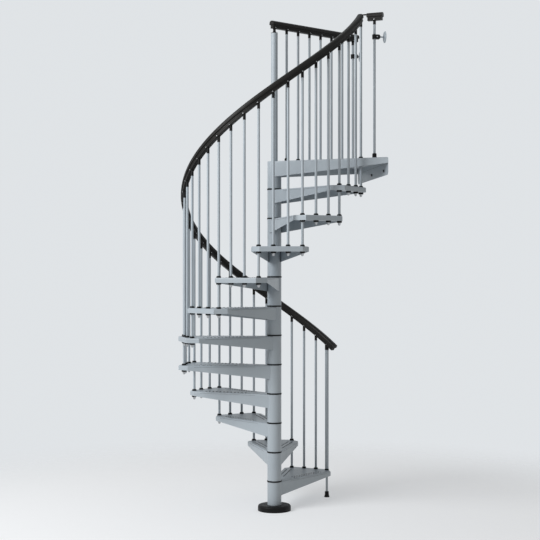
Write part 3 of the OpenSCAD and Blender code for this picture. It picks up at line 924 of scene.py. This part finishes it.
# %% Anti-slip studs
EDGE_TILT = radians(14.63)
TREAD_EDGE = 38.1 * MM
LANDING_EDGE = 47.8 * MM
STUD_SIDES = 16
STUD_PROFILE = ((-0.2, 6.0), (0.8, 5.9), (1.2, 5.3), (1.3, 3.0))
stud = stacked("anti_slip_stud", round_rings(STUD_PROFILE, STUD_SIDES))
landing_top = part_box("landing")[1].z
stud_spots = []
for k in range(1, TREADS + 1):
    for side in (-1, 1):
        stud_spots += stud_rows(tread_angle(k) + side * EDGE_TILT, side, TREAD_EDGE, tread_tops[k - 1])
stud_spots += stud_rows(-LANDING_HALF, -1, LANDING_EDGE, landing_top)
# The studs' black is painted shade round the pressed pips.
repeat("anti_slip_studs", stud, stud_spots, BLACK)

# %% [markdown]
# ## Camera
# The photograph was taken level, with a long lens. A camera that looks up or down would make the uprights
# lean. So this one stays level too, and a small shift of the lens sets the stair's height in the picture.

# %% Camera
camera = bpy.data.cameras.new("camera")
camera.lens = 79.40
camera.sensor_width = 36.0
camera.shift_x = -0.0002
camera.shift_y = 0.00887
viewpoint = bpy.data.objects.new("camera", camera)
viewpoint.location = (-1.3540, -8.5979, 1.7193)
viewpoint.rotation_euler = (QUARTER_TURN, 0, radians(-8.743))
scene.collection.objects.link(viewpoint)
scene.camera = viewpoint
print(f"camera {viewpoint.location.xy.length:.2f} m from the post")

# %% [markdown]
# ## Studio light
# One large soft lamp stands to the left and a little in front, as the bright left flanks and the dark right
# ones show. Several lamps could fill the shade, but an even pale world does it without new shadows.

# %% Key lamp
scene.view_settings.view_transform = "Standard"
KEY_ANGLE = radians(206)
KEY_DISTANCE = 7.0
KEY_HEIGHT = 5.4
AIM_HEIGHT = 1.8
key = bpy.data.lights.new("key_lamp", "AREA")
key.shape = "DISK"
key.size = 4.5
key.energy = 535
key_lamp = bpy.data.objects.new("key_lamp", key)
key_lamp.location = on_circle(KEY_ANGLE, KEY_DISTANCE, KEY_HEIGHT)
aim = Vector((0, 0, AIM_HEIGHT)) - key_lamp.location
key_lamp.rotation_euler = aim.to_track_quat("-Z", "Y").to_euler()
scene.collection.objects.link(key_lamp)
print("key lamp of", key.energy, "W")

# %% [markdown]
# ## Pale world
# The world does two jobs. It fills the shade with a soft warm light, and it is the pale backdrop. The
# backdrop has to be brighter than the fill, so the Light Path node tells the rays that show it from those
# that light. More light would brighten the backdrop too, but it would bleach the stair.

# %% World
FILL_TONE = (1.0, 0.975, 0.94, 1)
BACKDROP_TONE = (0.745, 0.772, 0.795, 1)


def seen_rays(tree):
    """1 for rays that show a surface, straight, mirrored or through glass, and 0 for those that light."""
    ray = add_node(tree, "ShaderNodeLightPath").outputs
    seen = ray["Is Camera Ray"]
    for kind in ("Is Glossy Ray", "Is Transmission Ray"):
        seen = add_node(tree, "ShaderNodeMath", {0: seen, 1: ray[kind]}, operation="MAXIMUM").outputs[0]
    return seen


world = bpy.data.worlds.new("pale_studio")
world.use_nodes = True
scene.world = world
air = world.node_tree
fill = air.nodes["Background"]
fill_sockets(air, fill, {"Color": FILL_TONE, "Strength": 0.33})
backdrop = add_node(air, "ShaderNodeBackground", {"Color": BACKDROP_TONE, "Strength": 1.0})
choice = add_node(air, "ShaderNodeMixShader",
                  {0: seen_rays(air), 1: fill.outputs[0], 2: backdrop.outputs[0]})
fill_sockets(air, air.nodes["World Output"], {"Surface": choice.outputs[0]})
print("made", world.name)

# %% [markdown]
# ## Pale floor
# The floor is a wide disc. It throws light up under the treads, as any pale floor does, and a warm glow
# stands for light that comes back from further off. To the eye it fades out round the stair, so that no
# horizon cuts the picture, and it glows in the tone of the backdrop, which keeps the stair's shadow soft. A
# curved backdrop would hide the horizon too, but only from one side.

# %% Finish of the floor
FLOOR_TONE = (0.525, 0.535, 0.546, 1)
FLOOR_GLOW = (0.386, 0.396, 0.408, 1)
BOUNCE_GLOW = (0.335, 0.315, 0.285, 1)
FADE_START = 1.8
FADE_END = 4.0


def pale_floor():
    material, tree, shader, place = start_material("pale_floor")
    seen = seen_rays(tree)
    fill_sockets(tree, shader, {
        "Base Color": FLOOR_TONE, "Roughness": 0.9, "Specular IOR Level": 0.1,
        "Emission Color": mixed_colour(tree, seen, BOUNCE_GLOW, FLOOR_GLOW), "Emission Strength": 1.0})
    reach = add_node(tree, "ShaderNodeVectorMath", {0: place}, operation="LENGTH").outputs["Value"]
    fade = add_node(tree, "ShaderNodeMapRange",
                    {"Value": reach, "From Min": FADE_START, "From Max": FADE_END},
                    interpolation_type="SMOOTHSTEP").outputs["Result"]
    gone = add_node(tree, "ShaderNodeMath", {0: fade, 1: seen}, operation="MULTIPLY").outputs[0]
    clear = add_node(tree, "ShaderNodeBsdfTransparent").outputs[0]
    rim = add_node(tree, "ShaderNodeMixShader", {0: gone, 1: shader.outputs[0], 2: clear})
    fill_sockets(tree, tree.nodes["Material Output"], {"Surface": rim.outputs[0]})
    return material


FLOOR_FINISH = pale_floor()
print("made", FLOOR_FINISH.name)

# %% Floor
FLOOR_R = 9.0
FLOOR_SIDES = 96
floor_mesh = bpy.data.meshes.new("floor")
bm = bmesh.new()
bmesh.ops.create_circle(bm, cap_ends=True, radius=FLOOR_R, segments=FLOOR_SIDES)
bm.to_mesh(floor_mesh)
bm.free()
floor_mesh.materials.append(FLOOR_FINISH)
floor = helper_object("floor", floor_mesh)
print("floor of", FLOOR_R, "m radius")

# %% [markdown]
# ## Clearing up
# The two section curves only served the sweeps, so they go. Left in the scene, they would count as pieces.

# %% Remove the section curves
for section in (CROWN, BASE):
    bpy.data.objects.remove(section)
